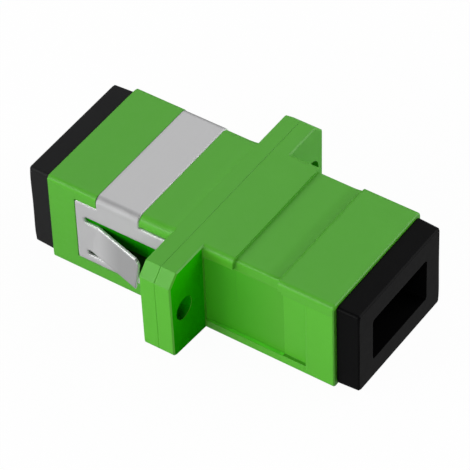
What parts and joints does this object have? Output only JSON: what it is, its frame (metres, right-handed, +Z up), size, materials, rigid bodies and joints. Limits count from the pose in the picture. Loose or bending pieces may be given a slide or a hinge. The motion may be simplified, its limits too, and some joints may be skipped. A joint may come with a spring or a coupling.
{
  "type": "sc fibre adapter",
  "caption": "Flanged square-body fibre adapter with a port at each end, a split sleeve inside, a sheet-metal panel clip and pull-off dust caps.",
  "frame": {"origin": "on the optical axis at the seam between the two housing halves, which is the middle of the alignment sleeve", "axes": "+X along the optical axis out of the plain front port, -X out of the port on the clip's side, +Y towards one ear of the flange, +Z up through the strap of the clip"},
  "size_m": [0.0318, 0.022, 0.0092],
  "materials": {
    "green_plastic": "moulded, satin gloss, leaf green",
    "black_plastic": "moulded, soft sheen, black",
    "spring_steel": "rolled sheet, satin, bare",
    "natural_plastic": "moulded, natural off-white",
    "sleeve_ceramic": "ground and polished white ceramic"
  },
  "bodies": {
    "adapter": {"housing_front": "green_plastic", "housing_rear": "green_plastic", "latch_insert_front": "natural_plastic", "latch_insert_rear": "natural_plastic", "alignment_sleeve": "sleeve_ceramic", "panel_clip": "spring_steel"},
    "front_cap": {"dust_cap_front": "black_plastic"},
    "rear_cap": {"dust_cap_rear": "black_plastic"}
  },
  "joints": [
    {"name": "front_cap_pull", "type": "slide", "parent": "adapter", "child": "front_cap", "axis": [1, 0, 0], "range_m": [0, 0.02]},
    {"name": "rear_cap_pull", "type": "slide", "parent": "adapter", "child": "rear_cap", "axis": [-1, 0, 0], "range_m": [0, 0.02]}
  ]
}
